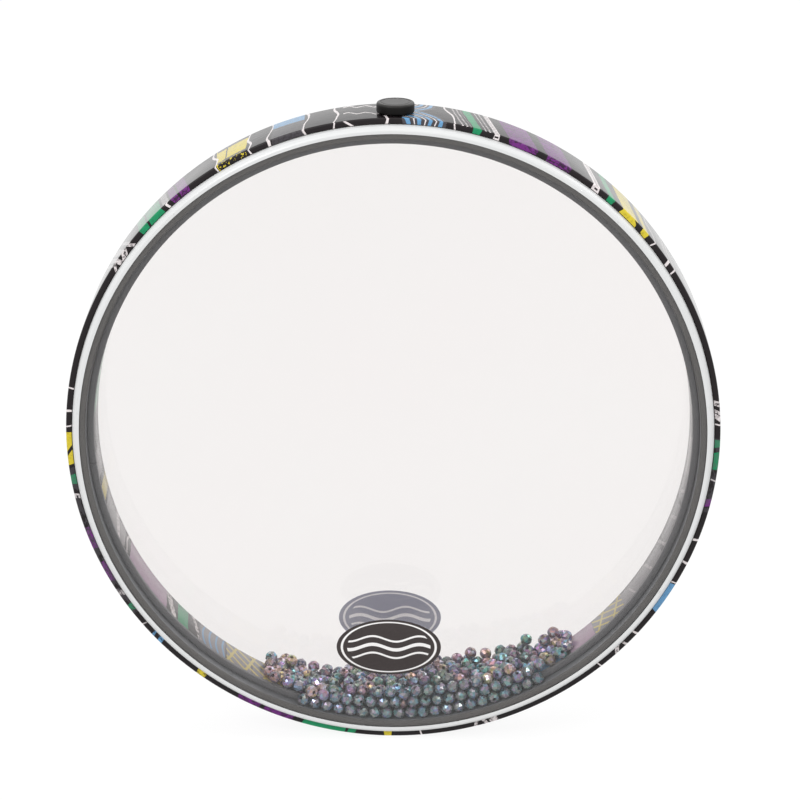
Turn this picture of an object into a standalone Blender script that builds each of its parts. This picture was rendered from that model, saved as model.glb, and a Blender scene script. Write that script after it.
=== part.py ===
"""Clear-headed frame drum with loose beads inside. Metres, +Z up.

The drum stands on its rim: its axis runs along Y at height SHELL_R, the front
head faces -Y, and the fill plug is at the top. Y distances are from mid-plane.
"""
import math

import bmesh
import bpy
import numpy as np
from mathutils import Matrix, Vector

MM = 0.001
FULL_TURN = 2 * math.pi
SEGMENTS = 96                  # facets round every ring, all in the same phase
SHARP_ANGLE = math.radians(35.0)
GAP = 0.3 * MM                 # usual clearance between parts
CLOSE_GAP = 0.2 * MM           # beside the lining and the head's skirt
SIDES = (("front", -1), ("rear", 1))  # label, sign of Y

# Shell
SHELL_R = 200.0 * MM           # outer radius over the wrap
SHELL_HALF = 19.1 * MM         # half width over the wrap's folded edges
WRAP_T = 0.6 * MM              # printed film
HOOP_OUT_R = SHELL_R - WRAP_T - GAP
HOOP_LIP_IN_R = 196.8 * MM     # thin lips beside the rings
HOOP_IN_R = 184.1 * MM         # thick middle
HOOP_LIP_HALF = SHELL_HALF - WRAP_T - GAP
SHELF_Y = 12.0 * MM            # the shelf that carries rings and gaskets
FOLD_IN_R = HOOP_LIP_IN_R - GAP
LINING_T = 0.5 * MM
LINING_OUT_R = HOOP_IN_R - CLOSE_GAP
LINING_HALF = 11.9 * MM

# Head hardware
SEAT_Y = SHELF_Y + GAP         # where rings and gaskets start
WHITE_IN_R = 192.2 * MM
WHITE_OUT_R = FOLD_IN_R - GAP
WHITE_FACE_Y = 24.4 * MM       # flat crest of the white ring
WHITE_SHOULDER = [             # (radius, y) from the outer wall to the crest
    (WHITE_OUT_R, 19.3 * MM),
    (195.7 * MM, 21.6 * MM),
    (194.7 * MM, 23.4 * MM),
    (193.8 * MM, WHITE_FACE_Y),
]
HEAD_R = WHITE_IN_R - CLOSE_GAP
HEAD_FACE_Y = 23.8 * MM
HEAD_T = 0.3 * MM
SKIRT_IN_R = HEAD_R - 0.4 * MM
SKIRT_END_Y = 19.5 * MM
BLACK_IN_R = 187.6 * MM
BLACK_OUT_R = SKIRT_IN_R - CLOSE_GAP
BLACK_FACE_Y = 23.2 * MM
BLACK_BEVEL_R = 0.8 * MM       # bevel of the inner edge, along the radius
BLACK_BEVEL_Y = 1.4 * MM       # and along the axis
GASKET_IN_R = {"front": 183.2 * MM, "rear": 184.4 * MM}  # rear stands outside the lining
GASKET_OUT_R = BLACK_IN_R - GAP
GASKET_T = 2.9 * MM
GASKET_SEAM = math.radians(186.0)  # where the strip's ends meet
SEAM_GAP = 0.5 * MM
SEAM_CLEAR = 4                 # half gaps either side of the seam without facet corners

# Elliptical badge on each head
BADGE_W = 65.0 * MM
BADGE_H = 37.0 * MM
BADGE_X = -2.5 * MM
BADGE_DROP = 137.0 * MM        # below the drum axis
BADGE_T = 0.2 * MM
BADGE_STANDOFF = 0.08 * MM
BADGE_SEGMENTS = 40

# Fill plug
PLUG_X = 1.3 * MM              # the hole stands a little off the top centre
PLUG_Y = -4.0 * MM
PLUG_Z = 2 * SHELL_R
PLUG_SEGMENTS = 28
PLUG_CAP_R = 11.4 * MM
PLUG_CAP_H = 6.4 * MM
PLUG_STEM_R = 6.8 * MM
PLUG_STEM_L = 16.2 * MM        # ends within the thickness of the lining
PLUG_GROOVE_Z = PLUG_CAP_H - 0.4 * MM
PLUG_OUTLINE = [               # (radius, z) from the stem's end to the cap's top
    (0.0, -PLUG_STEM_L),
    (PLUG_STEM_R - 1.6 * MM, -PLUG_STEM_L),
    (PLUG_STEM_R - 0.5 * MM, -PLUG_STEM_L + 1.6 * MM),
    (PLUG_STEM_R, GAP),
    (PLUG_CAP_R - 0.4 * MM, GAP),
    (PLUG_CAP_R, GAP + 0.6 * MM),
    (PLUG_CAP_R, PLUG_CAP_H - 1.2 * MM),
    (PLUG_CAP_R - 1.0 * MM, PLUG_CAP_H),
    (PLUG_CAP_R - 2.0 * MM, PLUG_CAP_H),
    (PLUG_CAP_R - 2.3 * MM, PLUG_GROOVE_Z),
    (PLUG_CAP_R - 2.9 * MM, PLUG_GROOVE_Z),
    (PLUG_CAP_R - 3.2 * MM, PLUG_CAP_H),
    (0.0, PLUG_CAP_H),
]
HOLE_R = PLUG_STEM_R + 0.4 * MM
HOLE_BELOW = 40.0 * MM         # reach of the cutter below and above the shell's top
HOLE_ABOVE = 20.0 * MM

# Beads
BEAD_R = 3.75 * MM
BEAD_HOLE_R = 0.95 * MM
BEAD_SHOULDER_R = 0.74 * BEAD_R
BEAD_HALF = 0.62 * BEAD_R      # half length along the bore
BEAD_SIDES = 6
BEADS_MODELLED = 45
BEAD_TURN_SEED = 7

# Heap: down and side are (x, z) directions in the plane of the heads
HEAP_TILT = math.radians(7.0)  # the heap lies a little to the right
HEAP_DOWN = np.array([math.sin(HEAP_TILT), -math.cos(HEAP_TILT)])
HEAP_SIDE = np.array([-HEAP_DOWN[1], HEAP_DOWN[0]])
HEAP_SURFACE_R = 161.0 * MM    # distance from the axis to the heap's surface

# Front layer of beads and how it settles
LAYER_Y = -19.5 * MM
LAYER_TRACK_R = 187.3 * MM     # what the layer lies on
LAYER_SEED = 16
START_PITCH = 2.04 * BEAD_R    # between neighbours in a starting row
ROW_RATIO = 0.88               # row spacing as a share of the pitch
START_SHAKE = 0.35 * BEAD_R    # standard deviation
LEAST_SPACING = 2.03 * BEAD_R  # between centres
SINK_STEP = 0.02 * BEAD_R
SINK_STEPS = 600               # the steps that sink, out of all SETTLE_STEPS
SETTLE_STEPS = 900
PUSHES_PER_STEP = 3
PUSH_SHARE = 0.25              # share of an overlap that one push takes from each bead

# Bed of beads behind the front layer
BED_TRACK_R = 182.8 * MM
BED_FRONT_Y = -15.3 * MM
BED_REAR_Y = 23.1 * MM
BED_COLUMNS = 24
BED_ROWS = 6
BED_END_RISE = 0.4 * BEAD_R    # the ends' height over the heap's surface line
BED_SINK = 0.15 * BEAD_R       # crests below the heap's surface
BED_BUMP = 0.5 * BEAD_R        # hollows below the crests
BED_LEAST_T = 0.6 * MM

AXIS = Vector((0.0, 0.0, SHELL_R))
EMPTY_SIZE = 0.02


# Scene and materials

def clear_scene():
    for obj in list(bpy.data.objects):
        bpy.data.objects.remove(obj, do_unlink=True)


def material(name, color, roughness, metallic=0.0, transmission=0.0):
    mat = bpy.data.materials.new(name)
    mat.use_nodes = True
    inputs = mat.node_tree.nodes["Principled BSDF"].inputs
    inputs["Base Color"].default_value = (*color, 1.0)
    inputs["Roughness"].default_value = roughness
    inputs["Metallic"].default_value = metallic
    inputs["Transmission Weight"].default_value = transmission
    return mat


def make_materials():
    return {
        "fibre": material("shell_fibre", color=(0.28, 0.20, 0.13), roughness=0.7),
        "film": material("printed_film", color=(0.10, 0.09, 0.11), roughness=0.12),
        "lining": material("printed_lining", color=(0.42, 0.40, 0.40), roughness=0.35),
        "white": material("white_plastic", color=(0.83, 0.83, 0.82), roughness=0.3),
        "black": material("black_plastic", color=(0.05, 0.05, 0.055), roughness=0.35),
        "foam": material("grey_foam", color=(0.11, 0.11, 0.12), roughness=0.9),
        "clear": material(
            "clear_film", color=(0.95, 0.95, 0.95), roughness=0.05, transmission=1.0),
        "badge": material("badge_print", color=(0.05, 0.045, 0.04), roughness=0.3),
        "plug": material("plug_rubber", color=(0.03, 0.03, 0.03), roughness=0.5),
        "bead": material(
            "bead_glass", color=(0.36, 0.36, 0.42), roughness=0.2, metallic=0.6),
    }


# Building tools

def finish(name, bm, mat, smooth=True):
    """Turns the bmesh into a linked object, shaded smooth up to SHARP_ANGLE or flat."""
    bmesh.ops.recalc_face_normals(bm, faces=bm.faces[:])
    mesh = bpy.data.meshes.new(name)
    bm.to_mesh(mesh)
    bm.free()
    mesh.materials.append(mat)
    if smooth:
        mesh.shade_smooth()
        mesh.set_sharp_from_angle(angle=SHARP_ANGLE)
    obj = bpy.data.objects.new(name, mesh)
    bpy.context.scene.collection.objects.link(obj)
    return obj


def open_at_seam(angles, seam, radius):
    """Facet corners in order from one seam end round to the other."""
    half = 0.5 * SEAM_GAP / radius
    clear = SEAM_CLEAR * half
    turned = sorted((angle - seam) % FULL_TURN for angle in angles)
    kept = [angle for angle in turned if clear < angle < FULL_TURN - clear]
    return [angle + seam for angle in [half, *kept, FULL_TURN - half]]


def ring(name, profile, mat, side=1, seam=None):
    """Turns a closed (r, y) profile round the drum axis. Flats of the facets lie on r.

    side = -1 mirrors the profile to the front. With a seam angle the ring is
    open there, closed by end caps. Points with r = 0 become one point on the axis.
    """
    profile = [(r, side * y) for r, y in profile]
    step = FULL_TURN / SEGMENTS
    angles = [FULL_TURN * (k + 0.5) / SEGMENTS for k in range(SEGMENTS)]
    if seam is not None:
        angles = open_at_seam(angles, seam, profile[0][0])

    bm = bmesh.new()
    on_axis = {
        i: bm.verts.new((0.0, y, AXIS.z)) for i, (r, y) in enumerate(profile) if r == 0.0
    }
    loops = []
    for angle in angles:
        # Facet corners and seam ends alike lie on the flats.
        from_middle = (angle + step / 2) % step - step / 2
        scale = 1.0 / math.cos(from_middle)
        loops.append([
            on_axis[i] if i in on_axis else
            bm.verts.new((
                r * scale * math.cos(angle), y, AXIS.z + r * scale * math.sin(angle)))
            for i, (r, y) in enumerate(profile)
        ])

    pairs = list(zip(loops, loops[1:]))
    if seam is None:
        pairs.append((loops[-1], loops[0]))
    for here, there in pairs:
        for i in range(len(profile)):
            j = (i + 1) % len(profile)
            # Shared axis points leave a triangle, or nothing at all.
            corners = list(dict.fromkeys((here[i], here[j], there[j], there[i])))
            if len(corners) >= 3:
                bm.faces.new(corners)
    if seam is not None:
        bm.faces.new(loops[0])
        bm.faces.new(loops[-1][::-1])
    return finish(name, bm, mat)


def rectangle(in_r, out_r, start_y, end_y):
    return [(in_r, start_y), (out_r, start_y), (out_r, end_y), (in_r, end_y)]


def lathe_z(name, profile, mat, centre=Vector((0, 0, 0))):
    """Turns an (r, z) profile, first and last points on the axis, about local Z."""
    bm = bmesh.new()
    low = bm.verts.new(centre + Vector((0, 0, profile[0][1])))
    top = bm.verts.new(centre + Vector((0, 0, profile[-1][1])))
    loops = []
    for k in range(PLUG_SEGMENTS):
        angle = FULL_TURN * (k + 0.5) / PLUG_SEGMENTS
        loops.append([
            bm.verts.new(centre + Vector((r * math.cos(angle), r * math.sin(angle), z)))
            for r, z in profile[1:-1]
        ])
    for here, there in zip(loops, loops[1:] + loops[:1]):
        bm.faces.new((low, there[0], here[0]))
        for i in range(len(here) - 1):
            bm.faces.new((here[i], there[i], there[i + 1], here[i + 1]))
        bm.faces.new((here[-1], there[-1], top))
    return finish(name, bm, mat)


def axis_empty(name, parent=None):
    empty = bpy.data.objects.new(name, None)
    empty.empty_display_size = EMPTY_SIZE
    bpy.context.scene.collection.objects.link(empty)
    empty.location = AXIS if parent is None else (0, 0, 0)
    empty.parent = parent
    return empty


def hang(obj, empty):
    """Parents obj to an empty on the drum axis without moving its mesh."""
    obj.data.transform(Matrix.Translation(-AXIS))
    obj.parent = empty


# Shell

def shell_hoop(mats):
    return ring("shell_hoop", [
        (HOOP_IN_R, -SHELF_Y), (HOOP_LIP_IN_R, -SHELF_Y),
        (HOOP_LIP_IN_R, -HOOP_LIP_HALF), (HOOP_OUT_R, -HOOP_LIP_HALF),
        (HOOP_OUT_R, HOOP_LIP_HALF), (HOOP_LIP_IN_R, HOOP_LIP_HALF),
        (HOOP_LIP_IN_R, SHELF_Y), (HOOP_IN_R, SHELF_Y),
    ], mats["fibre"])


def outer_wrap(mats):
    """Film round the hoop, folded in over both edges."""
    in_r = SHELL_R - WRAP_T
    in_half = SHELL_HALF - WRAP_T
    return ring("outer_print_wrap", [
        (FOLD_IN_R, -in_half), (FOLD_IN_R, -SHELL_HALF),
        (SHELL_R, -SHELL_HALF), (SHELL_R, SHELL_HALF),
        (FOLD_IN_R, SHELL_HALF), (FOLD_IN_R, in_half),
        (in_r, in_half), (in_r, -in_half),
    ], mats["film"])


def inner_lining(mats):
    profile = rectangle(LINING_OUT_R - LINING_T, LINING_OUT_R, -LINING_HALF, LINING_HALF)
    return ring("inner_print_lining", profile, mats["lining"])


# Head hardware, built once for each side

def white_ring(label, side, mats):
    ring(label + "_white_ring", [
        (WHITE_IN_R, SEAT_Y), (WHITE_OUT_R, SEAT_Y),
        *WHITE_SHOULDER,
        (WHITE_IN_R, WHITE_FACE_Y),
    ], mats["white"], side)


def black_ring(label, side, mats):
    ring(label + "_black_ring", [
        (BLACK_IN_R, SEAT_Y), (BLACK_OUT_R, SEAT_Y), (BLACK_OUT_R, BLACK_FACE_Y),
        (BLACK_IN_R + BLACK_BEVEL_R, BLACK_FACE_Y),
        (BLACK_IN_R, BLACK_FACE_Y - BLACK_BEVEL_Y),
    ], mats["black"], side)


def foam_gasket(label, side, mats):
    profile = rectangle(GASKET_IN_R[label], GASKET_OUT_R, SEAT_Y, SEAT_Y + GASKET_T)
    ring(label + "_foam_gasket", profile, mats["foam"], side, seam=GASKET_SEAM)


def head(label, side, mats):
    """Clear disc with a skirt that runs in between the two rings."""
    back_y = HEAD_FACE_Y - HEAD_T
    ring(label + "_head", [
        (0.0, HEAD_FACE_Y), (HEAD_R, HEAD_FACE_Y), (HEAD_R, SKIRT_END_Y),
        (SKIRT_IN_R, SKIRT_END_Y), (SKIRT_IN_R, back_y), (0.0, back_y),
    ], mats["clear"], side)


def badge(label, side, mats):
    near = side * (HEAD_FACE_Y + BADGE_STANDOFF)
    bm = bmesh.new()
    rims = []
    for y in (near, near + side * BADGE_T):
        rim = []
        for k in range(BADGE_SEGMENTS):
            angle = FULL_TURN * k / BADGE_SEGMENTS
            x = BADGE_X + 0.5 * BADGE_W * math.cos(angle)
            z = AXIS.z - BADGE_DROP + 0.5 * BADGE_H * math.sin(angle)
            rim.append(bm.verts.new((x, y, z)))
        rims.append(rim)
    for rim in rims:
        bm.faces.new(rim)
    for k in range(BADGE_SEGMENTS):
        j = (k + 1) % BADGE_SEGMENTS
        bm.faces.new((rims[0][k], rims[0][j], rims[1][j], rims[1][k]))
    finish(label + "_label", bm, mats["badge"])


# Fill plug and its hole

def fill_plug(mats):
    """Tapered stem under a broad cap with a rounded rim and a shallow groove."""
    plug = lathe_z("fill_plug", PLUG_OUTLINE, mats["plug"])
    plug.location = (PLUG_X, PLUG_Y, PLUG_Z)


def cut_plug_hole(targets, mats):
    profile = [(0.0, -HOLE_BELOW), (HOLE_R, -HOLE_BELOW), (HOLE_R, HOLE_ABOVE), (0.0, HOLE_ABOVE)]
    centre = Vector((PLUG_X, PLUG_Y, PLUG_Z))
    cutter = lathe_z("plug_hole_cutter", profile, mats["foam"], centre)
    cutter.hide_render = True
    cutter.display_type = "WIRE"
    for obj in targets:
        mod = obj.modifiers.new("plug_hole", "BOOLEAN")
        mod.operation = "DIFFERENCE"
        mod.solver = "EXACT"
        mod.object = cutter


# Beads

def heap_point(radius, angle):
    """(x, z) from the axis, the angle measured from the heap's low point."""
    return radius * (math.cos(angle) * HEAP_DOWN + math.sin(angle) * HEAP_SIDE)


def starting_rows(reach):
    """Bead centres in rows along the track, up to the heap's surface."""
    centres = []
    low = HEAP_SURFACE_R + BEAD_R
    row = 0
    while (radius := reach - row * START_PITCH * ROW_RATIO) > low:
        span = math.acos(low / radius)
        count = int(2 * span * radius / START_PITCH) + 1
        for k in range(count):
            angle = (k - (count - 1) / 2) * START_PITCH / radius
            centres.append(heap_point(radius, angle))
        row += 1
    return np.array(centres)


def front_layer():
    """Centres (x, z from the axis) of the layer against the front head, lowest first.

    Beads start in rows, shaken a little, then sink towards the heap's low
    point and push one another apart.
    """
    reach = LAYER_TRACK_R - BEAD_R
    centres = starting_rows(reach)
    rng = np.random.default_rng(LAYER_SEED)
    centres += rng.normal(0.0, START_SHAKE, centres.shape)
    itself = np.eye(len(centres))
    for step in range(SETTLE_STEPS):
        if step < SINK_STEPS:
            centres += HEAP_DOWN * SINK_STEP
        for _ in range(PUSHES_PER_STEP):
            apart = centres[:, None] - centres[None]
            # The added identity avoids dividing by a bead's distance to itself.
            dist = np.sqrt((apart ** 2).sum(-1)) + itself
            push = np.clip(LEAST_SPACING - dist, 0.0, None) * (1 - itself)
            centres += PUSH_SHARE * (apart / dist[..., None] * push[..., None]).sum(1)
            radius = np.sqrt((centres ** 2).sum(1))
            centres *= np.minimum(1.0, reach / radius)[:, None]
    return centres[np.argsort(-(centres @ HEAP_DOWN))]


def bead(name, centre, rng, mats):
    """A faceted, drilled bead with its bore in a random direction."""
    profile = [
        (BEAD_HOLE_R, -BEAD_HALF), (BEAD_SHOULDER_R, -BEAD_HALF), (BEAD_R, 0.0),
        (BEAD_SHOULDER_R, BEAD_HALF), (BEAD_HOLE_R, BEAD_HALF),
    ]
    turn = Vector(rng.normal(size=3)).to_track_quat("Z", "Y").to_matrix().to_4x4()
    place = Matrix.Translation(centre) @ turn
    bm = bmesh.new()
    loops = []
    for k in range(BEAD_SIDES):
        angle = FULL_TURN * k / BEAD_SIDES
        loops.append([
            bm.verts.new(place @ Vector((r * math.cos(angle), r * math.sin(angle), z)))
            for r, z in profile
        ])
    for here, there in zip(loops, loops[1:] + loops[:1]):
        for i in range(len(profile)):
            j = (i + 1) % len(profile)
            bm.faces.new((here[i], here[j], there[j], there[i]))
    return finish(name, bm, mats["bead"], smooth=False)


def bead_layer(pile, mats):
    """The lowest beads of the front layer; the outermost two hang on their own empties."""
    chosen = front_layer()[:BEADS_MODELLED]
    spread = chosen @ HEAP_SIDE
    ends = {int(np.argmin(spread)): "loose_bead_left", int(np.argmax(spread)): "loose_bead_right"}
    rng = np.random.default_rng(BEAD_TURN_SEED)
    number = 0
    for i, (x, z) in enumerate(chosen):
        if i in ends:
            name = ends[i]
            holder = axis_empty(name + "_axis", pile)
        else:
            number += 1
            name = f"bead_{number:02d}"
            holder = pile
        hang(bead(name, Vector((x, LAYER_Y, AXIS.z + z)), rng, mats), holder)


def bead_bed(pile, mats):
    """One body for the beads behind the front layer: a drum segment with a bumpy top."""
    span = math.acos((HEAP_SURFACE_R + BED_END_RISE) / BED_TRACK_R)
    bm = bmesh.new()
    bottom, top = [], []
    for i in range(BED_COLUMNS + 1):
        angle = span * (2 * i / BED_COLUMNS - 1)
        foot = heap_point(BED_TRACK_R, angle)
        depth = BED_TRACK_R * math.cos(angle) - HEAP_SURFACE_R
        low_row, top_row = [], []
        for j in range(BED_ROWS + 1):
            y = BED_FRONT_Y + (BED_REAR_Y - BED_FRONT_Y) * j / BED_ROWS
            low_row.append(bm.verts.new((foot[0], y, AXIS.z + foot[1])))
            lift = max(depth - BED_SINK - BED_BUMP * ((i + j) % 2), BED_LEAST_T)
            crown = foot - HEAP_DOWN * lift
            top_row.append(bm.verts.new((crown[0], y, AXIS.z + crown[1])))
        bottom.append(low_row)
        top.append(top_row)
    for grid in (bottom, top):
        for i in range(BED_COLUMNS):
            for j in range(BED_ROWS):
                bm.faces.new((grid[i][j], grid[i + 1][j], grid[i + 1][j + 1], grid[i][j + 1]))
    for i in range(BED_COLUMNS):
        for j in (0, BED_ROWS):
            bm.faces.new((bottom[i][j], bottom[i + 1][j], top[i + 1][j], top[i][j]))
    for j in range(BED_ROWS):
        for i in (0, BED_COLUMNS):
            bm.faces.new((bottom[i][j], bottom[i][j + 1], top[i][j + 1], top[i][j]))
    bmesh.ops.triangulate(bm, faces=bm.faces[:])
    hang(finish("bead_bed", bm, mats["bead"], smooth=False), pile)


def main():
    clear_scene()
    mats = make_materials()
    shell = [shell_hoop(mats), outer_wrap(mats), inner_lining(mats)]
    for label, side in SIDES:
        for build in (white_ring, black_ring, foam_gasket, head, badge):
            build(label, side, mats)
    fill_plug(mats)
    cut_plug_hole(shell, mats)
    pile = axis_empty("bead_pile_axis")
    bead_layer(pile, mats)
    bead_bed(pile, mats)


main()
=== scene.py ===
"""A bead drum standing on its rim.

The drum's axis runs along Y at height AXIS_Z. The front head faces -Y, the rear head +Y, and the
plug is on top. Beads lie in a heap at the bottom, between the two clear heads. Lengths are in
metres; outlines written in millimetres are scaled by MM. Turn angles run from +X through +Z, so
90 degrees is the top of the shell and 180 its left as seen from the front.
"""
import math
from functools import reduce
from operator import or_

import bmesh
import bpy
import numpy as np
from mathutils import Matrix, Quaternion, Vector


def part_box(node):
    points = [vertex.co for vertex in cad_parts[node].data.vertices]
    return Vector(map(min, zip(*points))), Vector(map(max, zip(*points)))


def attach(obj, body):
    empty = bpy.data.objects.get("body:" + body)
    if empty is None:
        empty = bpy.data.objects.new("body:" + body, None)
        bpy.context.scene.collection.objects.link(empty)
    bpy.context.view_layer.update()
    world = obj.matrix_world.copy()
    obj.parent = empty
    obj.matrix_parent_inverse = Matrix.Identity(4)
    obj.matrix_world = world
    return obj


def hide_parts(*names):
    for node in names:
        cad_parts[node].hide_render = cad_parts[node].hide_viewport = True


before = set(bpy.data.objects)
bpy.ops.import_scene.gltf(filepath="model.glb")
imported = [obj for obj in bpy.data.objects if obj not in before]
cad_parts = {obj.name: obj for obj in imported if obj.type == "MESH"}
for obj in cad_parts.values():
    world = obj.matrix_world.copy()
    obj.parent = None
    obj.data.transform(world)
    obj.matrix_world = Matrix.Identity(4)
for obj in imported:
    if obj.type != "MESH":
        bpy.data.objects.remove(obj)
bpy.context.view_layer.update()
SCENE = bpy.context.scene
for startup in ("Cube", "Light", "Camera"):
    if startup in bpy.data.objects:
        bpy.data.objects.remove(bpy.data.objects[startup], do_unlink=True)

MM = 0.001
WRAP_LO, WRAP_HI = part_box("outer_print_wrap")
SHELL_R = (WRAP_HI.x - WRAP_LO.x) / 2
AXIS_Z = (WRAP_HI.z + WRAP_LO.z) / 2
SHELL_TOP = AXIS_Z + SHELL_R
HALF = WRAP_HI.y                         # half width of the shell
TURNS = 288                              # steps round every ring


# ---------------------------------------------------------------- mesh helpers
def add_object(name, mesh):
    obj = bpy.data.objects.new(name, mesh)
    SCENE.collection.objects.link(obj)
    return obj


def link(name, bm, mat=None, smooth_deg=40.0):
    """Makes an object of a bmesh, smooth but for edges sharper than smooth_deg."""
    bmesh.ops.recalc_face_normals(bm, faces=bm.faces[:])
    mesh = bpy.data.meshes.new(name)
    bm.to_mesh(mesh)
    bm.free()
    if mat:
        mesh.materials.append(mat)
    if smooth_deg:
        mesh.shade_smooth()
        mesh.set_sharp_from_angle(angle=math.radians(smooth_deg))
    return add_object(name, mesh)


def stand_in(obj, node, slot, body="shell"):
    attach(obj, body)
    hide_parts(node)


def rounded(corners, radii, steps=5):
    """Closed outline with each corner replaced by a curve of about its radius."""
    out = []
    for index, (corner, radius) in enumerate(zip(corners, radii)):
        corner = Vector(corner)
        if radius <= 0:
            out.append(tuple(corner))
            continue
        before = Vector(corners[index - 1]) - corner
        after = Vector(corners[(index + 1) % len(corners)]) - corner
        # Keeps neighbouring curves from meeting.
        limit = min(0.49 * before.length, 0.49 * after.length)
        before.normalize()
        after.normalize()
        half_angle = 0.5 * before.angle(after)
        back = min(min(radius, limit) / math.tan(half_angle), limit)
        start, end = corner + before * back, corner + after * back
        for k in range(steps + 1):
            t = k / steps
            out.append(tuple((1 - t) ** 2 * start + 2 * t * (1 - t) * corner + t * t * end))
    return out


def drum_point(radius, y, angle):
    return (radius * math.cos(angle), y, AXIS_Z + radius * math.sin(angle))


def ring(name, outline, mat, seam=None):
    """Turns a closed (radius, y) outline about the drum axis, cut open at seam degrees if given.

    UVs: x is the angle from +X as a share of a turn, y the distance along the
    outline in metres, measured from the outline's first point.
    """
    bm = bmesh.new()
    uv = bm.loops.layers.uv.new("turn")
    if seam is None:
        angles = [2 * math.pi * k / TURNS for k in range(TURNS + 1)]
    else:
        gap = 0.35 * MM / outline[0][0]
        first = math.radians(seam) + gap
        angles = [first + (2 * math.pi - 2 * gap) * k / TURNS for k in range(TURNS + 1)]
    run = [0.0]
    for here, there in zip(outline, outline[1:] + outline[:1]):
        run.append(run[-1] + math.hypot(here[0] - there[0], here[1] - there[1]))
    loops = []
    for k, angle in enumerate(angles):
        if seam is None and k == TURNS:
            loops.append(loops[0])
        else:
            loops.append([bm.verts.new(drum_point(radius, y, angle)) for radius, y in outline])
    for k in range(TURNS):
        for i in range(len(outline)):
            j = (i + 1) % len(outline)
            face = bm.faces.new((loops[k][i], loops[k][j], loops[k + 1][j], loops[k + 1][i]))
            ends = ((k, i), (k, i + 1), (k + 1, i + 1), (k + 1, i))
            for loop, (turn, step) in zip(face.loops, ends):
                loop[uv].uv = (angles[turn] / (2 * math.pi), run[step])
    if seam is not None:
        bm.faces.new(loops[0])
        bm.faces.new(loops[-1][::-1])
    return link(name, bm, mat)


def spin(bm, outline, segments, place):
    """Verts of an open outline whose two ends lie on the axis: (first, last, loops).

    place(radius, along, angle) gives the point.
    """
    first, last = [bm.verts.new(place(0.0, outline[end][1], 0.0)) for end in (0, -1)]
    loops = []
    for k in range(segments):
        angle = 2 * math.pi * k / segments
        loops.append([bm.verts.new(place(radius, along, angle)) for radius, along in outline[1:-1]])
    return first, last, loops


def drill(obj, radius, top):
    """Cuts the plug's hole down through a ring's top and keeps the result as the mesh."""
    bm = bmesh.new()
    bmesh.ops.create_cone(bm, cap_ends=True, segments=64, radius1=radius, radius2=radius,
                          depth=60 * MM, matrix=Matrix.Translation(top))
    cutter = link("hole_cutter", bm, smooth_deg=None)
    mod = obj.modifiers.new("hole", "BOOLEAN")
    mod.operation, mod.solver, mod.object = "DIFFERENCE", "EXACT", cutter
    evaluated = obj.evaluated_get(bpy.context.evaluated_depsgraph_get())
    made = bpy.data.meshes.new_from_object(evaluated)
    obj.modifiers.clear()
    old, obj.data = obj.data, made
    made.name = old.name + "_drilled"
    bpy.data.meshes.remove(old)
    bpy.data.objects.remove(cutter, do_unlink=True)
    made.set_sharp_from_angle(angle=math.radians(40))


# ------------------------------------------------------------ material helpers
def srgb(text):
    """#rrggbb to linear RGBA."""
    shares = [int(text[i:i + 2], 16) / 255 for i in (1, 3, 5)]
    linear = [v / 12.92 if v <= 0.04045 else ((v + 0.055) / 1.055) ** 2.4 for v in shares]
    return (*linear, 1.0)


def grey(level):
    """Linear grey as RGBA."""
    return (level, level, level, 1.0)


def any_of(masks):
    """1 where any of the masks is."""
    return reduce(or_, masks)


def forward(operation):
    return lambda self, other: self.net.math(operation, self, other)


def reverse(operation):
    return lambda self, other: self.net.math(operation, other, self)


class Value:
    """A node's output. Arithmetic on it adds Math nodes, with inputs in the order written."""

    __add__, __radd__ = forward("ADD"), reverse("ADD")
    __sub__, __rsub__ = forward("SUBTRACT"), reverse("SUBTRACT")
    __mul__, __truediv__ = forward("MULTIPLY"), forward("DIVIDE")
    __lt__, __gt__ = forward("LESS_THAN"), forward("GREATER_THAN")
    __or__ = forward("MAXIMUM")

    def __init__(self, net, socket):
        self.net, self.socket = net, socket

    def sibling(self, key):
        """Another output of the same node."""
        return Value(self.net, self.socket.node.outputs[key])

    def math(self, operation, *others, clamp=False):
        return self.net.math(operation, self, *others, clamp=clamp)

    def __abs__(self):
        return self.math("ABSOLUTE")

    def fract(self):
        return self.math("FRACT")

    def sin(self):
        return self.math("SINE")

    def sqrt(self):
        return self.math("SQRT")

    def near(self, centre, half):
        """1 within half of centre."""
        return abs(self - centre) < half

    def inside(self, low, high):
        """1 between low and high."""
        return (self > low) * (self < high)

    def scaled(self, slope):
        """Multiplied by slope and held to 0..1."""
        return self.math("MULTIPLY", slope, clamp=True)

    def rise(self, start, slope):
        """0 up to start, then climbing to 1."""
        return (self - start).scaled(slope)

    def fall(self, end, slope):
        """Dropping from 1 to reach 0 at end."""
        return (end - self).scaled(slope)


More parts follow.
